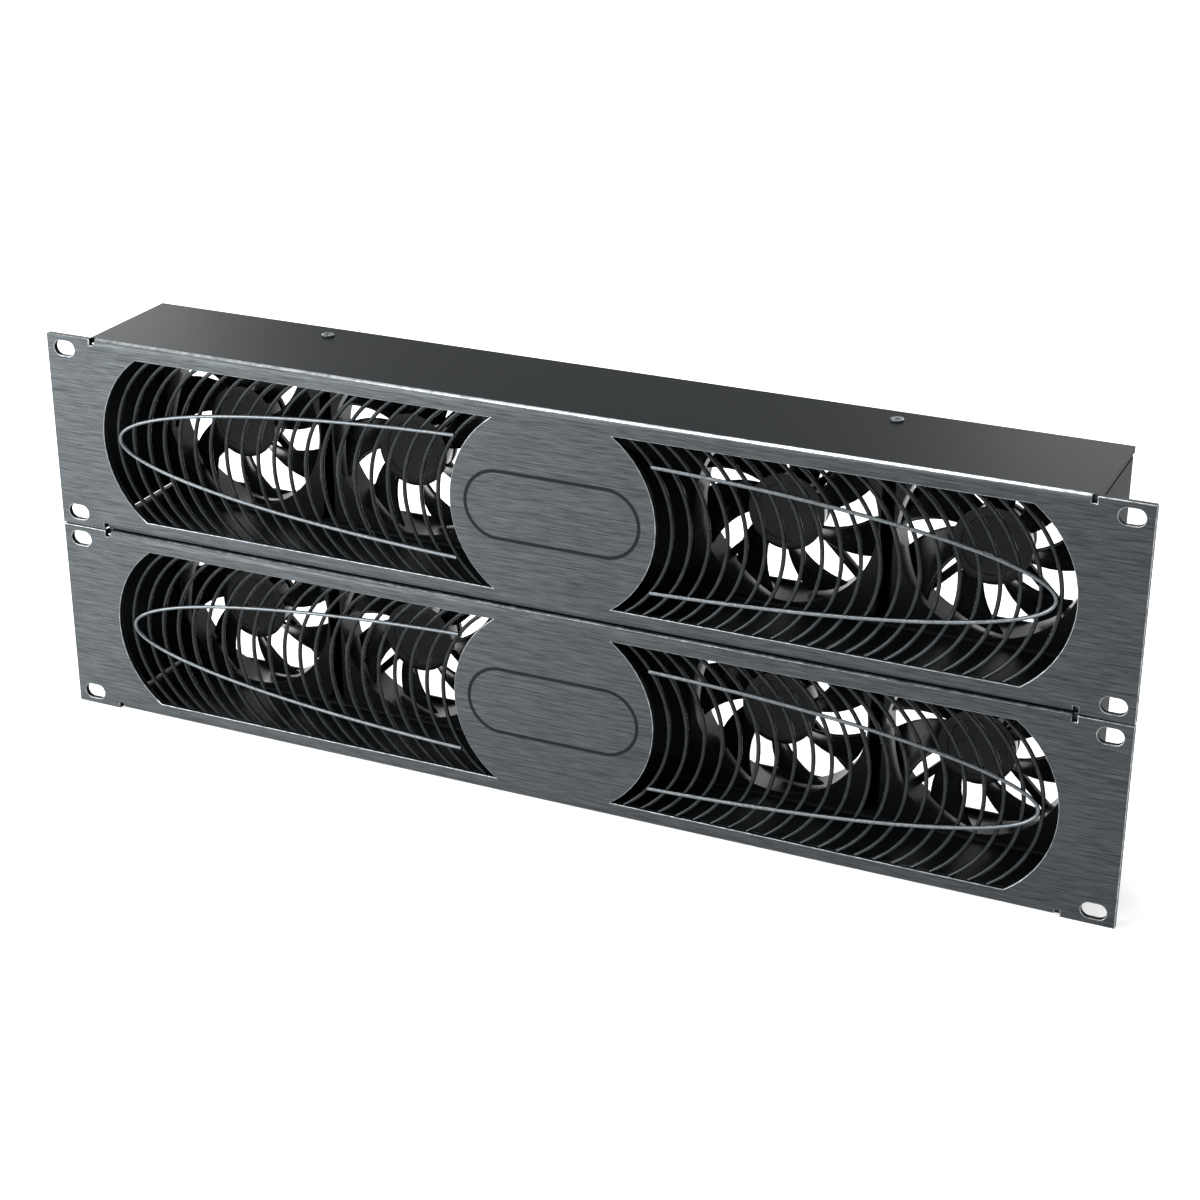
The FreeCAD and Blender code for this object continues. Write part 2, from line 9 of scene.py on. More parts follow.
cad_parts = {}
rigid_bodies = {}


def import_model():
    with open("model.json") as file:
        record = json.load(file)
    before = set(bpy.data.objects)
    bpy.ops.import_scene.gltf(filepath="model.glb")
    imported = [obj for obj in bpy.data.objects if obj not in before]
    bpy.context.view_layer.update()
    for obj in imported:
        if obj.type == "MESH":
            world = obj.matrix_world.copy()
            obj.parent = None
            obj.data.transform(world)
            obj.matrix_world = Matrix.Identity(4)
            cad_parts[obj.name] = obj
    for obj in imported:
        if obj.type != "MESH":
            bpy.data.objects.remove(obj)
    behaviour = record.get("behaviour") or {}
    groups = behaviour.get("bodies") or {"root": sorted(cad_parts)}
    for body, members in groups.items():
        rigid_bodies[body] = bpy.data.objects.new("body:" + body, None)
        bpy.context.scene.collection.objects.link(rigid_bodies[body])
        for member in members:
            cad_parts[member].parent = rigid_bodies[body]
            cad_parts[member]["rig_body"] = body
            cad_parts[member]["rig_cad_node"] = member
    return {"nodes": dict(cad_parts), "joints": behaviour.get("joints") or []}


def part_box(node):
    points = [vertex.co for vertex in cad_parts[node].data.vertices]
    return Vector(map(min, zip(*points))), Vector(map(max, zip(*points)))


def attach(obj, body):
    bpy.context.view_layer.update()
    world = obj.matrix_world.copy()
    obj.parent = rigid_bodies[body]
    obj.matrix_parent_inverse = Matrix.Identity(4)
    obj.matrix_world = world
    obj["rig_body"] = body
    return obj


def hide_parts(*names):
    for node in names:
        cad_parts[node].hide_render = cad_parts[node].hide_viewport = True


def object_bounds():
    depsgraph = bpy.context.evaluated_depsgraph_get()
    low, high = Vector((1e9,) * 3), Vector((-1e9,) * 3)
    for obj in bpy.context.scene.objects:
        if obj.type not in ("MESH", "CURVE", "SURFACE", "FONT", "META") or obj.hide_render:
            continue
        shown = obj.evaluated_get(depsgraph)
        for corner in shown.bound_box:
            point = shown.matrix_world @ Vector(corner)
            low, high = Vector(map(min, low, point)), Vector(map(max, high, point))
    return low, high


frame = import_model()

bl_info = {
    "name": "Rack Fan Panels",
    "version": (1, 0, 0),
    "blender": (4, 5, 0),
    "location": "3D View > Sidebar > Fan Panels",
    "description": "Finishes two stacked rack fan panels and sets them on a pale stage",
    "category": "Object",
}

MM = 0.001
CAD_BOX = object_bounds()
PANELS = ("lower", "upper")
SIDES = (("left", -1), ("right", 1))
FANS = range(1, 5)
CHASSIS = "chassis"

# Rest angle of each fan's impeller from left to right, in degrees about Y.
REST_TURNS = {"lower": (31, 2, 32, 13), "upper": (38, 23, 20, 3)}

# Vertices that lie closer than this, in metres, are one vertex.
MERGE_NODE = 2e-6
MERGE_PIECE = 1e-6
# Faces of a frame node that meet within FLAT degrees are one face, and its edges sharper than
# SHARP degrees are rounded.
FLAT = 0.5
SHARP = 40

# How far the front shell's normals lean along Y where a bend starts, at the face, and ends.
BEND_FRONT = -0.7
BEND_BACK = -0.15

# The kinds of ray to which the floor and the backdrop are white. FLOOR_LIFT is the glow that
# they see on the floor, and ROOM_LIGHT is how bright the backdrop is to all other rays.
SEEN_RAYS = ("Is Camera Ray", "Is Glossy Ray", "Is Transmission Ray")
FLOOR_LIFT = 0.6
ROOM_LIGHT = 0.4

# Name, spot, target and size in metres, and power in watts.
LAMPS = (
    ("key", (-1.28, -1.27, 0.52), (-0.1, 0, 0.13), (1.3, 1.1), 42),
    ("top", (-0.35, 0.1, 1.5), (0, 0, 0.1), (1.4, 0.4), 22),
    ("back_left", (-1.15, 1.0, 0.55), (-0.1, 0, 0.15), (0.5, 0.5), 6),
    ("back_right", (0.0, 1.25, 0.62), (0.22, 0, 0.15), (0.3, 0.5), 3),
)
# The camera's place in metres, its angles in degrees, and its lens and sensor in millimetres.
CAMERA_SPOT = (0.39184, -0.85101, 0.50132)
AZIMUTH, ELEVATION, ROLL = 24.2525, 24.0623, 0.154
LENS = 72.99
SENSOR = 36


# ---------------------------------------------------------------- sizes and colours


def length(name, default, description):
    """A property in metres whose default is given in millimetres."""
    return FloatProperty(name=name, description=description, default=default * MM,
                         unit="LENGTH", precision=4)


class GrilleSizes(PropertyGroup):
    """Sizes of the wire grilles."""
    wire: length("Upright wire", 1.8, "Diameter of an upright wire")
    hairpin: length("Hairpin wire", 1.6, "Diameter of the long curved wire")
    arc: length("Arc", 46, "Radius to which the upright wires are bent")
    pitch: length("Pitch", 7.84, "Distance between upright wires")
    first: length("First wire", 52.3, "Centre of the panel to the crest of the first wire")
    reach: length("Hairpin reach", 207.5, "Centre of the panel to the nose of the hairpin")
    rise: length("Hairpin rise", 27.6, "Half height of the hairpin's ellipse")
    root: length("Hairpin root", 43.56, "Centre of the panel to the ends of the hairpin")
    count: IntProperty(name="Wires", description="Upright wires in a window", default=21)


class FanSizes(PropertyGroup):
    """Sizes of the impellers."""
    blades: IntProperty(name="Blades", description="Blades of an impeller", default=7)
    cup: length("Cup", 16.4, "Radius of the impeller's cup at its front")
    cup_back: length("Cup back", 14.3, "Radius of the impeller's cup at its back")
    cup_depth: length("Cup depth", 10.4, "Depth of the impeller's cup")
    edge: length("Edge", 1.2, "Rounding of the cup's front edge")
    rim: length("Rim", 4, "Width of the raised rim on the cup's front")
    dish: length("Dish", 0.4, "Depth of the dish inside the rim")
    tip: length("Tip", 38.1, "Radius of the blade tips")
    gauge: length("Gauge", 1.3, "Thickness of a blade")
    blade_edge: length("Blade edge", 0.35, "Rounding of a blade's edges")
    blade_root: length("Blade root", 0.6, "How deep a blade is sunk in the cup's back")
    blade_front: length("Blade front", 1.9, "Cup's front to the blade's leading edge")
    blade_run: length("Blade run", 8.9, "Leading to trailing edge along the axis")
    camber: length("Camber", 0.8, "Height of a blade's curve over its chord")


class FinishSizes(PropertyGroup):
    """Roundings, screws and the etched border."""
    sheet_edge: length("Sheet edge", 0.3, "Rounding of the sheet metal's cut edges")
    moulded_edge: length("Moulded edge", 0.2, "Rounding of moulded edges")
    inlet_edge: length("Inlet edge", 0.3, "Rounding of the inlet and its pins")
    screw: length("Screw head", 2.8, "Radius of a screw head")
    screw_edge: length("Screw edge", 0.16, "Rounding of a screw head")
    screw_rise: length("Screw rise", 1.6, "Height of a fan screw's head")
    fan_screws: length("Fan screws", 71.5, "Distance between a fan's screws")
    border: length("Border", 15.5, "Outer radius of the etched border's ends")
    border_shift: length("Border shift", 24, "Middle of the face to the centre of an end")
    border_line: length("Border line", 1.5, "Width of the etched line")
    border_depth: length("Border depth", 0.03, "Thickness of the etched line")


class StageColours(PropertyGroup):
    """Colours of the stage."""
    floor: FloatVectorProperty(name="Floor", description="Colour of the floor", size=3,
                               subtype="COLOR", min=0, max=1, default=(0.86, 0.86, 0.86))


# ---------------------------------------------------------------- materials


def linear(code):
    """Turn an sRGB hex colour such as "7f8487" to a linear one."""
    channels = [int(code[place:place + 2], 16) / 255 for place in (0, 2, 4)]
    return tuple(c / 12.92 if c <= 0.04045 else ((c + 0.055) / 1.055) ** 2.4
                 for c in channels) + (1.0,)


def node(material, kind, settings=None, **links):
    """Add a node, set its properties and input values, and link its other inputs."""
    made = material.node_tree.nodes.new(kind)
    for key, value in (settings or {}).items():
        if isinstance(key, int) or key in made.inputs:
            made.inputs[key].default_value = value
        else:
            setattr(made, key, value)
    for key, output in links.items():
        material.node_tree.links.new(output, made.inputs[key.replace("_", " ")])
    return made


def blank(name, **sockets):
    """A new material with its Principled node; constants go straight on the sockets."""
    material = bpy.data.materials.new(name)
    material.use_nodes = True
    shader = material.node_tree.nodes["Principled BSDF"]
    for key, value in sockets.items():
        shader.inputs[key.replace("_", " ")].default_value = value
    return material, shader


def streaks(material, across, along, detail):
    """Noise drawn out along X: across and along are a streak's width and length in mm."""
    place = node(material, "ShaderNodeTexCoord")
    stretch = node(material, "ShaderNodeMapping",
                   {"Scale": (1 / (along * MM), 1 / (across * MM), 1 / (across * MM))},
                   Vector=place.outputs["Object"])
    noise = node(material, "ShaderNodeTexNoise",
                 {"Scale": 1.0, "Detail": detail, "Roughness": 0.6},
                 Vector=stretch.outputs["Vector"])
    return noise.outputs["Fac"]


def grit(material, size):
    """Noise with grains of a size in mm."""
    place = node(material, "ShaderNodeTexCoord")
    noise = node(material, "ShaderNodeTexNoise",
                 {"Scale": 1 / (size * MM), "Detail": 2.0, "Roughness": 0.55},
                 Vector=place.outputs["Object"])
    return noise.outputs["Fac"]


def ramp(material, source, low, high, dark, light):
    """Turn a 0 to 1 value into a colour between two."""
    made = node(material, "ShaderNodeValToRGB", Fac=source)
    made.color_ramp.elements[0].position = low
    made.color_ramp.elements[0].color = dark
    made.color_ramp.elements[1].position = high
    made.color_ramp.elements[1].color = light
    return made.outputs["Color"]


def tone(material, shader, grain, dark, light, low=0.3, high=0.7):
    """Let a grain shift the base colour between two hex colours."""
    shade = ramp(material, grain, low, high, linear(dark), linear(light))
    material.node_tree.links.new(shade, shader.inputs["Base Color"])


def roughen(material, shader, grain, low, high):
    """Let a grain shift the roughness from low to high."""
    spread = node(material, "ShaderNodeMapRange",
                  {"From Min": 0.25, "From Max": 0.75, "To Min": low, "To Max": high},
                  Value=grain)
    material.node_tree.links.new(spread.outputs["Result"], shader.inputs["Roughness"])


def add_bump(material, shader, height, depth, strength):
    """Bump with a depth in mm."""
    bump = node(material, "ShaderNodeBump", {"Distance": depth * MM, "Strength": strength},
                Height=height)
    material.node_tree.links.new(bump.outputs["Normal"], shader.inputs["Normal"])


def brushed_black_anodised_aluminium():
    """Belt-brushed sheet, anodised black: fine lines along the face that spread a highlight
    up and down, so that the face goes from grey to near black along its length."""
    material, shader = blank("brushed_black_anodised_aluminium", Metallic=0.9, Anisotropic=0.8,
                             Anisotropic_Rotation=0.25)
    # Real brush lines are about 0.1 mm wide; they are drawn at 0.34 mm so that they show.
    fine = streaks(material, across=0.34, along=9, detail=4)
    broad = streaks(material, across=1.0, along=28, detail=2)
    fine_share = 0.65
    both = node(material, "ShaderNodeMath", {"operation": "MULTIPLY_ADD", 1: fine_share},
                Value=fine)
    rest = node(material, "ShaderNodeMath", {"operation": "MULTIPLY", 1: 1 - fine_share},
                Value=broad)
    material.node_tree.links.new(rest.outputs["Value"], both.inputs[2])
    grain = both.outputs["Value"]
    tone(material, shader, grain, "2f3234", "4d5153", low=0.38, high=0.62)
    roughen(material, shader, grain, 0.46, 0.36)
    add_bump(material, shader, grain, depth=0.03, strength=0.45)
    return material


def satin_black_anodised_aluminium():
    """The same sheet where it isn't brushed: bead-blasted before anodising, even satin black."""
    material, shader = blank("satin_black_anodised_aluminium", IOR=1.5, Specular_IOR_Level=0.02)
    blast = grit(material, size=0.4)
    tone(material, shader, blast, "131617", "1a1d1e")
    roughen(material, shader, blast, 0.36, 0.44)
    add_bump(material, shader, blast, depth=0.01, strength=0.1)
    return material


def burnished_aluminium_edge():
    """Deburred edges and outer bends in a paler metal than the face, as a painted highlight:
    a bright grey line along the face's rims."""
    material, shader = blank("burnished_aluminium_edge", Metallic=1.0)
    highlight_mottle = grit(material, size=3)
    # The pale base colour is a painted highlight on the bends and rims; the grit only mottles it
    # at random.
    tone(material, shader, highlight_mottle, "707477", "a3a7aa", low=0.35, high=0.65)
    roughen(material, shader, highlight_mottle, 0.36, 0.28)
    return material


def black_powder_coated_steel():
    """Folded steel sprayed with fine satin powder: even black with a slight orange peel."""
    material, shader = blank("black_powder_coated_steel", IOR=1.5, Specular_IOR_Level=0.05)
    peel = grit(material, size=0.9)
    tone(material, shader, peel, "1b1d1e", "242728")
    roughen(material, shader, peel, 0.46, 0.56)
    add_bump(material, shader, peel, depth=0.04, strength=0.2)
    return material


def black_oxide_wire():
    """Drawn steel wire, welded and blackened: dark with a thin metal glint along it."""
    material, shader = blank("black_oxide_wire", Metallic=0.8)
    scale = grit(material, size=5)
    tone(material, shader, scale, "1b1e1f", "292c2e")
    roughen(material, shader, scale, 0.22, 0.32)
    return material


def satin_nickel_wire():
    """Drawn wire, paler than the uprights as a painted highlight for the light the hairpin catches
    in front, with a long glint.
    """
    material, shader = blank("satin_nickel_wire", Metallic=0.9)
    draw = grit(material, size=1.5)
    # The paler base colour is a painted highlight for the light that the hairpin catches in front
    # of the uprights.
    tone(material, shader, draw, "53585b", "6e7376")
    roughen(material, shader, draw, 0.28, 0.38)
    return material


def black_glass_filled_nylon():
    """Injection-moulded frames and inlets: deep black with a fine spark-eroded grain."""
    material, shader = blank("black_glass_filled_nylon", IOR=1.53, Specular_IOR_Level=0.15)
    grain = grit(material, size=0.35)
    tone(material, shader, grain, "0a0b0c", "111314")
    roughen(material, shader, grain, 0.28, 0.4)
    add_bump(material, shader, grain, depth=0.02, strength=0.2)
    return material


def glossy_black_pbt():
    """Injection-moulded impeller from a polished tool: black with long soft reflections."""
    material, shader = blank("glossy_black_pbt", IOR=1.55, Specular_IOR_Level=0.12)
    flow = grit(material, size=6)
    tone(material, shader, flow, "0b0c0d", "121415")
    roughen(material, shader, flow, 0.16, 0.26)
    return material


def blackened_screw_steel():
    """Machine screw steel with a black phosphate coat: dull dark grey with mottled wear."""
    material, shader = blank("blackened_screw_steel", Metallic=0.8)
    coat = grit(material, size=0.6)
    tone(material, shader, coat, "3a3d3f", "5c6063", low=0.35)
    roughen(material, shader, coat, 0.3, 0.45)
    return material


def ground_shaft_steel():
    """Centreless-ground steel shaft: bright with faint mottling."""
    material, shader = blank("ground_shaft_steel", Metallic=1.0, Roughness=0.22)
    tone(material, shader, grit(material, size=0.3), "a9abad", "c4c6c8")
    return material


def nickel_plated_brass():
    """Plug pins: bright nickel over brass with faint mottling."""
    material, shader = blank("nickel_plated_brass", Metallic=1.0, Roughness=0.25)
    tone(material, shader, grit(material, size=0.5), "b4b2aa", "cfcdc6")
    return material


def etched_dark_line():
    """A flat line on the brushed surface for an engraved groove, matt and almost black: its dark
    colour is painted shade of the groove.
    """
    material, shader = blank("etched_dark_line", Specular_IOR_Level=0.1, Roughness=0.7)
    # The near-black colour is painted shade: the groove is drawn as a thin flat line laid on the
    # face, not cut in.
    tone(material, shader, grit(material, size=0.3), "141617", "1f2223")
    return material


MATERIALS = {}


def finish(maker):
    """The material that a function makes, made once."""
    if maker not in MATERIALS:
        MATERIALS[maker] = maker()
    return MATERIALS[maker]


# ---------------------------------------------------------------- modelling helpers


def deselect():
    """Leave object mode and clear the selection."""
    if bpy.context.object and bpy.context.object.mode != "OBJECT":
        bpy.ops.object.mode_set(mode="OBJECT")
    bpy.ops.object.select_all(action="DESELECT")


def choose(piece):
    """Select one piece alone and make it active."""
    deselect()
    piece.select_set(True)
    bpy.context.view_layer.objects.active = piece


def edit(piece, mode="VERT"):
    """Enter edit mode on a piece, picking vertices, edges or faces."""
    choose(piece)
    bpy.ops.object.mode_set(mode="EDIT")
    bpy.ops.mesh.select_mode(type=mode)


def pick(piece, test, kind="vertices"):
    """Select the vertices, edges or faces of a piece in edit mode that pass a test."""
    bpy.ops.mesh.select_all(action="DESELECT")
    bpy.ops.object.mode_set(mode="OBJECT")
    for item in getattr(piece.data, kind):
        item.select = bool(test(item))
    bpy.ops.object.mode_set(mode="EDIT")


def settle(piece):
    """Put the piece's place into its mesh."""
    choose(piece)
    bpy.ops.object.transform_apply(location=True, rotation=True, scale=True)


def modify(piece, kind, **settings):
    """Add a modifier and apply it."""
    choose(piece)
    modifier = piece.modifiers.new(kind, kind)
    for key, value in settings.items():
        setattr(modifier, key, value)
    bpy.ops.object.modifier_apply(modifier=modifier.name)


def smooth(piece, degrees):
    """Shade smooth, with edges sharper than an angle kept hard."""
    choose(piece)
    bpy.ops.object.shade_smooth_by_angle(angle=math.radians(degrees))


def point_out(piece):
    """Turn every face of a closed piece outwards."""
    edit(piece)
    bpy.ops.mesh.select_all(action="SELECT")
    bpy.ops.mesh.remove_doubles(threshold=MERGE_PIECE)
    bpy.ops.mesh.normals_make_consistent(inside=False)
    deselect()


def copy_of(piece, name):
    """A copy with a mesh of its own."""
    made = piece.copy()
    made.data = piece.data.copy()
    made.name = name
    bpy.context.scene.collection.objects.link(made)
    return made


def join(pieces):
    """Make one piece of several."""
    deselect()
    for piece in pieces:
        piece.select_set(True)
    bpy.context.view_layer.objects.active = pieces[0]
    bpy.ops.object.join()
    return bpy.context.object


def dress(piece, *makers):
    """Give a piece its materials, one for each slot."""
    piece.data.materials.clear()
    for maker in makers:
        piece.data.materials.append(finish(maker))


def place(piece, name, body, slot, stands_for=()):
    """Name a finished piece and make it ride on its body."""
    piece.name = name
    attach(piece, body)
    for hidden in stands_for:
        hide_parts(hidden)


def rounded_copy(source, name, width, makers, rim=-1):
    """A merged copy of a frame node with its sharp edges rounded in the finish of slot rim."""
    piece = copy_of(frame["nodes"][source], name)
    dress(piece, *makers)
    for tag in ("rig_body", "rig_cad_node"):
        del piece[tag]
    piece.parent = None
    edit(piece)
    bpy.ops.mesh.select_all(action="SELECT")
    bpy.ops.mesh.remove_doubles(threshold=MERGE_NODE)
    bpy.ops.mesh.dissolve_limited(angle_limit=math.radians(FLAT))
    bpy.ops.mesh.select_all(action="DESELECT")
    bpy.ops.mesh.select_mode(type="EDGE")
    bpy.ops.mesh.edges_select_sharp(sharpness=math.radians(SHARP))
    bpy.ops.object.mode_set(mode="OBJECT")
    # Roundings would cross on the short facets inside a tight bend, so those stay sharp.
    mesh = piece.data
    picked = [edge for edge in mesh.edges if edge.select]
    crowded = set()
    for edge in picked:
        first, second = edge.vertices
        if (mesh.vertices[first].co - mesh.vertices[second].co).length < width:
            crowded.update((first, second))
    for item in (*mesh.vertices, *mesh.polygons):
        item.select = False
    for edge in picked:
        edge.select = crowded.isdisjoint(edge.vertices)
    bpy.ops.object.mode_set(mode="EDIT")
    bpy.ops.mesh.bevel(offset=width, segments=2, material=rim, clamp_overlap=False)
    smooth(piece, SHARP)
    modify(piece, "WEIGHTED_NORMAL", keep_sharp=True)
    return piece


# ---------------------------------------------------------------- pieces


class FANPANEL_OT_shells(Operator):
    """Round the edges of the front and rear shells and brush the faces."""
    bl_idname = "fanpanel.shells"
    bl_label = "Shells"

    def execute(self, context):
        sizes = context.scene.fan_finish
        for panel in PANELS:
            source = f"{panel}_front_shell"
            name = source + "_brushed"
            front = rounded_copy(source, name, sizes.sheet_edge,
                                 (brushed_black_anodised_aluminium,
                                  satin_black_anodised_aluminium,
                                  burnished_aluminium_edge), rim=2)
            self.leave_unbrushed(front)
            place(front, name, CHASSIS, "brushed_face", [source])
            source = f"{panel}_rear_shell"
            name = source + "_coated"
            rear = rounded_copy(source, name, sizes.sheet_edge, (black_powder_coated_steel,))
            place(rear, name, CHASSIS, "black_steel", [source])
        return {"FINISHED"}

    def leave_unbrushed(self, front):
        """Only the face is brushed: the fronts of its bends take the paler metal of the painted
        highlight and the rest is plain satin.
        """
        edit(front, "FACE")
        everything = 1.1
        for slot, least, most in ((1, BEND_BACK, everything), (2, BEND_FRONT, BEND_BACK)):
            pick(front, lambda face: face.material_index == 0 and least < face.normal.y <= most,
                 "polygons")
            front.active_material_index = slot
            bpy.ops.object.material_slot_assign()
        deselect()


class FANPANEL_OT_grilles(Operator):
    """Bend round wires over each window and lay the hairpin wire in front of them."""
    bl_idname = "fanpanel.grilles"
    bl_label = "Grilles"

    def execute(self, context):
        sizes = context.scene.fan_grille
        for panel in PANELS:
            for word, side in SIDES:
                source = f"{panel}_grille_{word}"
                low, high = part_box(source)
                uprights = self.uprights(sizes, low, high, side)
                hairpin = self.hairpin(sizes, low, high, side)
                dress(uprights, black_oxide_wire)
                dress(hairpin, satin_nickel_wire)
                place(uprights, source + "_uprights", CHASSIS, "wire", [source])
                place(hairpin, source + "_hairpin", CHASSIS, "wire")
        return {"FINISHED"}

    def uprights(self, sizes, low, high, side):
        """One wire spun along its arc, cut level at both sills and repeated along X."""
        middle = (low.z + high.z) / 2
        half = (high.z - low.z) / 2
        depth = high.y - sizes.wire / 2
        spare = math.radians(3)
        centre = Vector((side * (sizes.first - sizes.arc), depth, middle))
        reach = math.asin(half / sizes.arc) + spare
        start = centre + sizes.arc * Vector((side * math.cos(reach), 0, -math.sin(reach)))
        deselect()
        bpy.ops.mesh.primitive_circle_add(vertices=12, radius=sizes.wire / 2, fill_type="NGON",
                                          location=start, rotation=(0, side * reach, 0))
        wire = bpy.context.object
        settle(wire)
        edit(wire)
        bpy.ops.mesh.select_all(action="SELECT")
        bpy.ops.mesh.spin(steps=28, angle=2 * reach, center=centre, axis=(0, side, 0))
        for level, below in ((low.z, True), (high.z, False)):
            bpy.ops.mesh.select_all(action="SELECT")
            bpy.ops.mesh.bisect(plane_co=(0, 0, level), plane_no=(0, 0, 1), use_fill=True,
                                clear_inner=below, clear_outer=not below)
        point_out(wire)
        modify(wire, "ARRAY", count=sizes.count, use_relative_offset=False,
               use_constant_offset=True, constant_offset_displace=(side * sizes.pitch, 0, 0))
        smooth(wire, 40)
        return wire

    def hairpin(self, sizes, low, high, side):
        """The outer part of a thin ellipse, bent from one wire."""
        middle = (low.z + high.z) / 2
        deselect()
        bpy.ops.curve.primitive_bezier_circle_add(
            radius=1, location=(0, low.y + sizes.hairpin / 2, middle),
            rotation=(math.pi / 2, 0, 0))
        curve = bpy.context.object
        curve.scale = (sizes.reach, sizes.rise, 1)
        settle(curve)
        # Scaling the curve scaled its points' radii too, which set the wire's thickness.
        for point in curve.data.splines[0].bezier_points:
            point.radius = 1
        curve.data.bevel_depth = sizes.hairpin / 2
        curve.data.bevel_resolution = 3
        curve.data.resolution_u = 40
        bpy.ops.object.convert(target="MESH")
        wire = bpy.context.object
        edit(wire)
        bpy.ops.mesh.select_all(action="SELECT")
        bpy.ops.mesh.bisect(plane_co=(side * sizes.root, 0, 0), plane_no=(side, 0, 0),
                            use_fill=True, clear_inner=True)
        point_out(wire)
        smooth(wire, 60)
        return wire


class FANPANEL_OT_impellers(Operator):
    """Model one impeller with swept blades and copy it onto every fan."""
    bl_idname = "fanpanel.impellers"
    bl_label = "Impellers"

    def execute(self, context):
        sizes = context.scene.fan_sizes
        pattern = self.impeller(sizes)
        for joint in frame["joints"]:
            body = joint["child"]
            source = body.replace("rotor", "impeller")
            low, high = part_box(source)
            piece = copy_of(pattern, source + "_moulded")
            panel, number = source.split("_")[0], int(source[-1])
            turn = REST_TURNS[panel][number - 1]
            piece.matrix_world = (Matrix.Translation((joint["pos_m"][0], low.y, joint["pos_m"][2]))
                                  @ Matrix.Rotation(math.radians(turn), 4, "Y"))
            settle(piece)
            smooth(piece, 40)
            dress(piece, glossy_black_pbt)
            place(piece, source + "_moulded", body, "impeller_plastic", [source])
        bpy.data.objects.remove(pattern)
        return {"FINISHED"}

    def impeller(self, sizes):
        """The cup with its ring of blades, about Y, the front of the cup at Y 0."""
        parts = [self.cup(sizes)]
        blade = self.blade(sizes)
        for number in range(sizes.blades):
            turned = copy_of(blade, f"blade_{number}")
            turned.matrix_world = Matrix.Rotation(math.tau * number / sizes.blades, 4, "Y")
            settle(turned)
            parts.append(turned)
        bpy.data.objects.remove(blade)
        return join(parts)

    def cup(self, sizes):
        """A tapered cup about Y with a rounded front edge and a shallow dished front."""
        deselect()
        bpy.ops.mesh.primitive_cone_add(vertices=72, radius1=sizes.cup, radius2=sizes.cup_back,
                                        depth=sizes.cup_depth,
                                        location=(0, sizes.cup_depth / 2, 0),
                                        rotation=(-math.pi / 2, 0, 0))
        cup = bpy.context.object
        settle(cup)
        edit(cup, "FACE")
        pick(cup, lambda face: face.normal.y < -0.9, "polygons")
        bpy.ops.mesh.inset(thickness=sizes.rim)
        bpy.ops.mesh.extrude_region_move(TRANSFORM_OT_translate={"value": (0, sizes.dish, 0)})
        deselect()
        modify(cup, "BEVEL", width=sizes.edge, segments=4, limit_method="ANGLE",
               angle_limit=math.radians(50))
        return cup

    def blade(self, sizes):
        """A swept, cambered sheet from cup to tip, given its thickness at the end."""
        across, outward = 14, 8
        deselect()
        bpy.ops.mesh.primitive_grid_add(x_subdivisions=across, y_subdivisions=outward, size=1)
        blade = bpy.context.object
        for vertex in blade.data.vertices:
            vertex.co = blade_point(vertex.co.x + 0.5, vertex.co.y + 0.5, sizes)
        modify(blade, "SOLIDIFY", thickness=sizes.gauge, offset=0)
        modify(blade, "BEVEL", width=sizes.blade_edge, segments=2, limit_method="ANGLE",
               angle_limit=math.radians(50))
        point_out(blade)
        return blade


def blade_point(chord, span, sizes):
    """A point of the top blade: chord runs from leading to trailing edge, span from cup to tip."""
    # In degrees: the leading edge at the cup, its lean forward to the tip, and the blade's width.
    root_lead, sweep, width = -14.5, -24.5, 33.5
    root_radius = sizes.cup_back - sizes.blade_root
    radius = root_radius + (sizes.tip - root_radius) * span
    angle = math.radians(root_lead + sweep * span + width * chord)
    depth = sizes.blade_front + sizes.blade_run * chord + sizes.camber * math.sin(math.pi * chord)
    return Vector((radius * math.sin(angle), depth, radius * math.cos(angle)))


class FANPANEL_OT_fan_frames(Operator):
    """Round the moulded edges of one fan frame and set a copy of it at every fan."""
    bl_idname = "fanpanel.fan_frames"
    bl_label = "Fan frames"

    def execute(self, context):
        first = "lower_fan_frame_1"
        pattern = rounded_copy(first, "pattern", context.scene.fan_finish.moulded_edge,
                               (black_glass_filled_nylon,))
        for panel in PANELS:
            for number in FANS:
                source = f"{panel}_fan_frame_{number}"
                piece = copy_of(pattern, source + "_moulded")
                piece.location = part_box(source)[0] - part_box(first)[0]
                settle(piece)
                place(piece, source + "_moulded", CHASSIS, "fan_plastic", [source])
        bpy.data.objects.remove(pattern)
        return {"FINISHED"}


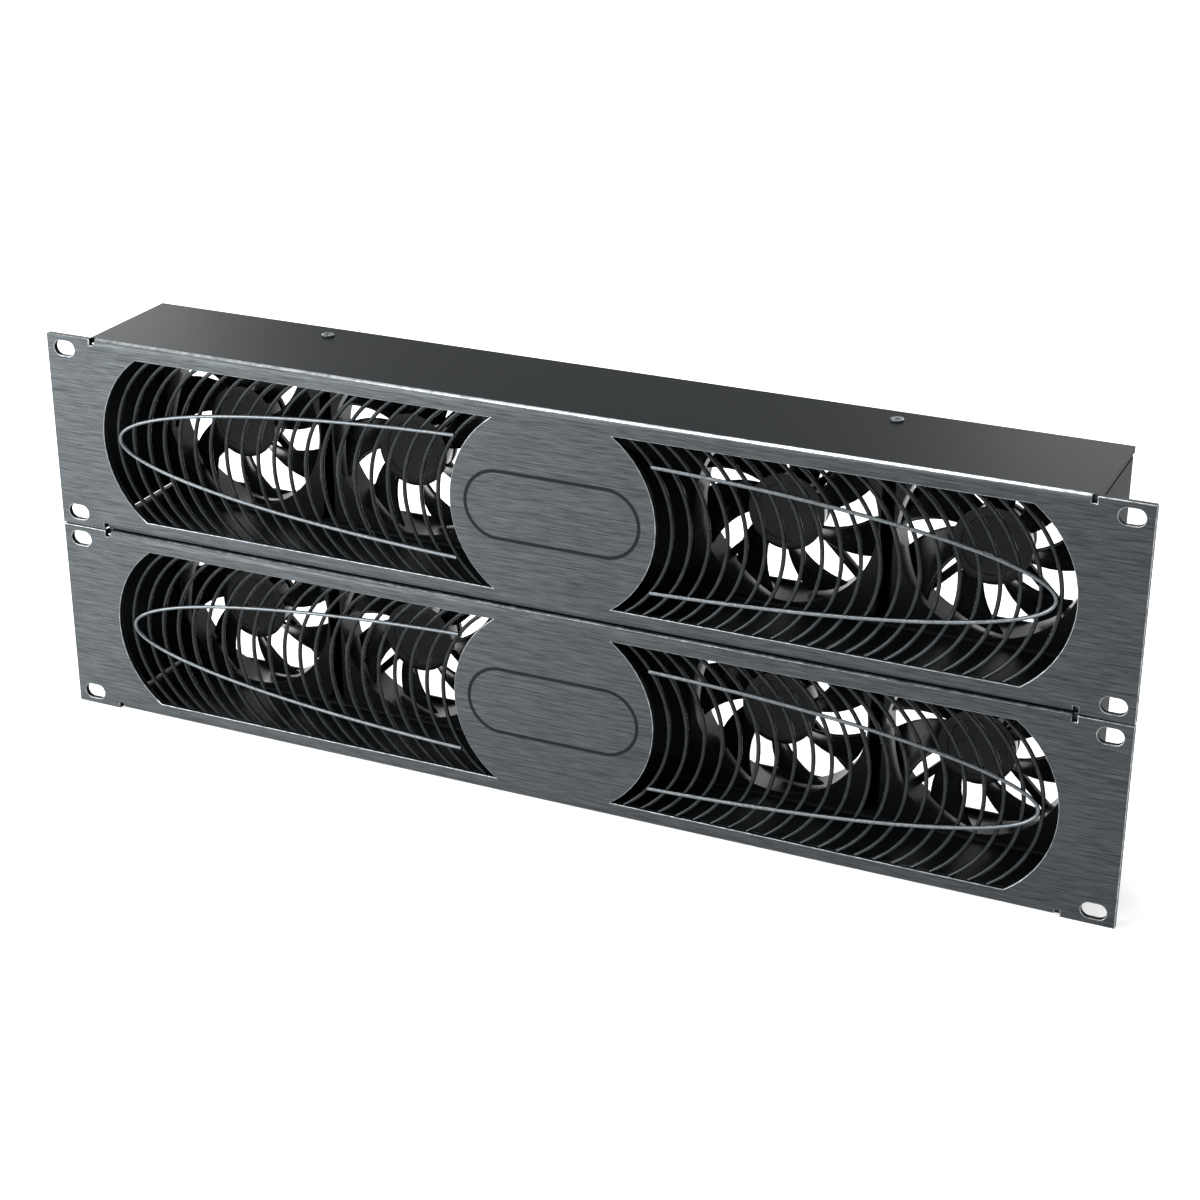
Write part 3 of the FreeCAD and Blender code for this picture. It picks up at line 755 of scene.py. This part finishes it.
class FANPANEL_OT_screws(Operator):
    """Model one pan-head screw and copy it to the top plates and the rear walls."""
    bl_idname = "fanpanel.screws"
    bl_label = "Screws"

    def execute(self, context):
        sizes = context.scene.fan_finish
        pattern = self.screw(sizes)
        for panel in PANELS:
            self.chassis_screws(panel, pattern, sizes)
            self.fan_screws(panel, pattern, sizes)
        bpy.data.objects.remove(pattern)
        return {"FINISHED"}

    def screw(self, sizes):
        """A head of unit height with a cross recess, standing on its seat, facing +Z."""
        deselect()
        bpy.ops.mesh.primitive_cylinder_add(vertices=40, radius=sizes.screw, depth=1,
                                            location=(0, 0, 0.5))
        head = bpy.context.object
        settle(head)
        deselect()
        bpy.ops.mesh.primitive_cube_add(size=1, location=(0, 0, 1))
        slot = bpy.context.object
        slot_length, slot_width, slot_depth = 1.15 * sizes.screw, 0.26 * sizes.screw, 0.9
        slot.scale = (slot_length, slot_width, slot_depth)
        for turn in (0, math.pi / 2):
            slot.rotation_euler = (0, 0, turn)
            settle(slot)
            modify(head, "BOOLEAN", operation="DIFFERENCE", object=slot, solver="EXACT")
        bpy.data.objects.remove(slot)
        return head

    def seat(self, pattern, sizes, matrix, turn, rise):
        """A screw head of a height, put at a matrix and turned about its own axis."""
        piece = copy_of(pattern, "head")
        piece.matrix_world = (matrix @ Matrix.Rotation(math.radians(turn), 4, "Z")
                              @ Matrix.Diagonal((1, 1, rise, 1)))
        settle(piece)
        modify(piece, "BEVEL", width=sizes.screw_edge, segments=2, limit_method="ANGLE",
               angle_limit=math.radians(40), use_clamp_overlap=True)
        return piece

    def chassis_screws(self, panel, pattern, sizes):
        """Two heads on the top plate."""
        source = f"{panel}_chassis_screws"
        low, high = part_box(source)
        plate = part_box(f"{panel}_front_shell")[1].z
        depth = (low.y + high.y) / 2
        radius = (high.y - low.y) / 2
        heads = []
        for across, turn in ((low.x + radius, 25), (high.x - radius, 70)):
            matrix = Matrix.Translation((across, depth, plate))
            heads.append(self.seat(pattern, sizes, matrix, turn, high.z - plate))
        piece = join(heads)
        smooth(piece, 35)
        dress(piece, blackened_screw_steel)
        place(piece, source + "_heads", CHASSIS, "screw_steel", [source])

    def fan_screws(self, panel, pattern, sizes):
        """Four heads round each fan on the rear wall."""
        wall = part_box(f"{panel}_rear_shell")[1].y
        rearward = Matrix.Rotation(-math.pi / 2, 4, "X")
        # Screws stop at any angle: a step that isn't a share of a turn keeps them uneven.
        turn_step = 37
        heads = []
        for number in FANS:
            low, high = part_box(f"{panel}_fan_frame_{number}")
            middle = (low + high) / 2
            for side in (-1, 1):
                for level in (-1, 1):
                    spot = (middle.x + side * sizes.fan_screws / 2, wall,
                            middle.z + level * sizes.fan_screws / 2)
                    turn = turn_step * (number + side + 2 * level)
                    heads.append(self.seat(pattern, sizes, Matrix.Translation(spot) @ rearward,
                                           turn, sizes.screw_rise))
        piece = join(heads)
        smooth(piece, 35)
        dress(piece, blackened_screw_steel)
        place(piece, f"{panel}_fan_screw_heads", CHASSIS, "screw_steel")


class FANPANEL_OT_inlets(Operator):
    """Finish the power inlets and the shafts."""
    bl_idname = "fanpanel.inlets"
    bl_label = "Inlets and shafts"

    def execute(self, context):
        edge = context.scene.fan_finish.inlet_edge
        for panel in PANELS:
            source = f"{panel}_power_inlet"
            piece = rounded_copy(source, source + "_moulded", edge, (black_glass_filled_nylon,))
            place(piece, source + "_moulded", CHASSIS, "black_plastic", [source])
            source = f"{panel}_inlet_pins"
            piece = rounded_copy(source, source + "_plated", edge, (nickel_plated_brass,))
            place(piece, source + "_plated", CHASSIS, "pin_metal", [source])
        for name, item in frame["nodes"].items():
            if "_shaft_" in name:
                dress(item, ground_shaft_steel)
        return {"FINISHED"}


class FANPANEL_OT_borders(Operator):
    """Lay a plain rounded border line on the middle of each face, dark as painted shade of an
    engraved groove.
    """
    bl_idname = "fanpanel.borders"
    bl_label = "Borders"

    def execute(self, context):
        sizes = context.scene.fan_finish
        for panel in PANELS:
            low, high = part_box(f"{panel}_front_shell")
            middle = (low.z + high.z) / 2
            deselect()
            bpy.ops.mesh.primitive_circle_add(vertices=96, radius=sizes.border, fill_type="NGON",
                                              location=(0, low.y, middle),
                                              rotation=(math.pi / 2, 0, 0))
            border = bpy.context.object
            settle(border)
            edit(border)
            for side in (-1, 1):
                pick(border, lambda vertex: side * vertex.co.x > 1e-5)
                bpy.ops.transform.translate(value=(side * sizes.border_shift, 0, 0))
            bpy.ops.mesh.select_all(action="SELECT")
            bpy.ops.mesh.inset(thickness=sizes.border_line)
            bpy.ops.mesh.delete(type="FACE")
            deselect()
            modify(border, "SOLIDIFY", thickness=sizes.border_depth, offset=0)
            point_out(border)
            dress(border, etched_dark_line)
            place(border, f"{panel}_border", CHASSIS, "brushed_face")
        return {"FINISHED"}


# ---------------------------------------------------------------- stage


def light_path(tree, *rays):
    """One for the named kinds of ray, zero for all others."""
    path = tree.nodes.new("ShaderNodeLightPath")
    total = path.outputs[rays[0]]
    for ray in rays[1:]:
        most = tree.nodes.new("ShaderNodeMath")
        most.operation = "MAXIMUM"
        tree.links.new(total, most.inputs[0])
        tree.links.new(path.outputs[ray], most.inputs[1])
        total = most.outputs["Value"]
    return total


def pale_painted_board(colour):
    """Matt painted board: seen as white, with the object's shadow left on it."""
    material, shader = blank("pale_painted_board", Roughness=0.9)
    mottle = grit(material, size=40)
    darker = 0.985
    shade = tuple(darker * channel for channel in colour) + (1.0,)
    material.node_tree.links.new(ramp(material, mottle, 0.3, 0.7, shade, (*colour, 1.0)),
                                 shader.inputs["Base Color"])
    shader.inputs["Emission Color"].default_value = (1, 1, 1, 1)
    lift = node(material, "ShaderNodeMath", {"operation": "MULTIPLY", 1: FLOOR_LIFT},
                Value=light_path(material.node_tree, *SEEN_RAYS))
    material.node_tree.links.new(lift.outputs["Value"], shader.inputs["Emission Strength"])
    return material


def area_light(name, spot, target, size, power):
    """A soft rectangular lamp at a spot that faces a target; sizes are in metres."""
    deselect()
    bpy.ops.object.light_add(type="AREA", location=spot)
    lamp = bpy.context.object
    lamp.name = name
    lamp.data.shape = "RECTANGLE"
    lamp.data.size, lamp.data.size_y = size
    lamp.data.energy = power
    facing = Vector(target) - Vector(spot)
    lamp.rotation_euler = facing.to_track_quat("-Z", "Y").to_euler()


class FANPANEL_OT_stage(Operator):
    """Add the pale floor, the soft studio lights and the camera."""
    bl_idname = "fanpanel.stage"
    bl_label = "Stage"

    def execute(self, context):
        self.floor(context.scene.fan_stage)
        self.world(context.scene)
        for lamp in LAMPS:
            area_light(*lamp)
        self.camera(context.scene)
        return {"FINISHED"}

    def floor(self, colours):
        """A board under the object, wide enough to fill the view."""
        deselect()
        bpy.ops.mesh.primitive_plane_add(size=12, location=(0, 0, CAD_BOX[0][2]))
        floor = bpy.context.object
        floor.name = "floor"
        floor.data.materials.append(pale_painted_board(colours.floor))

    def world(self, scene):
        """White for the camera and in reflections, a dimmer white as light."""
        world = bpy.data.worlds.new("studio")
        scene.world = world
        world.use_nodes = True
        tree = world.node_tree
        tree.nodes.clear()
        seen = tree.nodes.new("ShaderNodeBackground")
        seen.inputs["Color"].default_value = (1, 1, 1, 1)
        seen.inputs["Strength"].default_value = 1.0
        light = tree.nodes.new("ShaderNodeBackground")
        light.inputs["Color"].default_value = linear("f4f7fa")
        light.inputs["Strength"].default_value = ROOM_LIGHT
        mix = tree.nodes.new("ShaderNodeMixShader")
        out = tree.nodes.new("ShaderNodeOutputWorld")
        tree.links.new(light_path(tree, *SEEN_RAYS), mix.inputs["Fac"])
        tree.links.new(light.outputs["Background"], mix.inputs[1])
        tree.links.new(seen.outputs["Background"], mix.inputs[2])
        tree.links.new(mix.outputs["Shader"], out.inputs["Surface"])

    def camera(self, scene):
        """A long lens from the front right, a little above the panels."""
        azimuth, elevation, roll = (math.radians(angle) for angle in (AZIMUTH, ELEVATION, ROLL))
        deselect()
        bpy.ops.object.camera_add()
        camera = bpy.context.object
        camera.matrix_world = (Matrix.Translation(CAMERA_SPOT)
                               @ Matrix.Rotation(azimuth, 4, "Z")
                               @ Matrix.Rotation(math.pi / 2 - elevation, 4, "X")
                               @ Matrix.Rotation(roll, 4, "Z"))
        camera.data.lens = LENS
        camera.data.sensor_width = SENSOR
        camera.data.clip_start = 0.01
        scene.camera = camera


# ---------------------------------------------------------------- add-on


class FANPANEL_PT_sidebar(Panel):
    """Lists the pieces and their sizes."""
    bl_idname = "FANPANEL_PT_sidebar"
    bl_label = "Fan Panels"
    bl_space_type = "VIEW_3D"
    bl_region_type = "UI"
    bl_category = "Fan Panels"

    def draw(self, context):
        column = self.layout.column()
        for operator in OPERATORS:
            column.operator(operator.bl_idname)
        for group in (context.scene.fan_grille, context.scene.fan_sizes,
                      context.scene.fan_finish, context.scene.fan_stage):
            box = self.layout.box()
            for name in group.__annotations__:
                box.prop(group, name)


OPERATORS = (
    FANPANEL_OT_shells,
    FANPANEL_OT_borders,
    FANPANEL_OT_grilles,
    FANPANEL_OT_fan_frames,
    FANPANEL_OT_impellers,
    FANPANEL_OT_screws,
    FANPANEL_OT_inlets,
    FANPANEL_OT_stage,
)
GROUPS = {
    "fan_grille": GrilleSizes,
    "fan_sizes": FanSizes,
    "fan_finish": FinishSizes,
    "fan_stage": StageColours,
}


def register():
    for item in (*GROUPS.values(), *OPERATORS, FANPANEL_PT_sidebar):
        bpy.utils.register_class(item)
    for name, group in GROUPS.items():
        setattr(bpy.types.Scene, name, PointerProperty(type=group))


def unregister():
    for name in GROUPS:
        delattr(bpy.types.Scene, name)
    for item in reversed((*GROUPS.values(), *OPERATORS, FANPANEL_PT_sidebar)):
        bpy.utils.unregister_class(item)


def main():
    register()
    for operator in OPERATORS:
        group, name = operator.bl_idname.split(".")
        getattr(getattr(bpy.ops, group), name)()
    bpy.context.scene.view_settings.view_transform = "Standard"


if __name__ == "__main__":
    main()
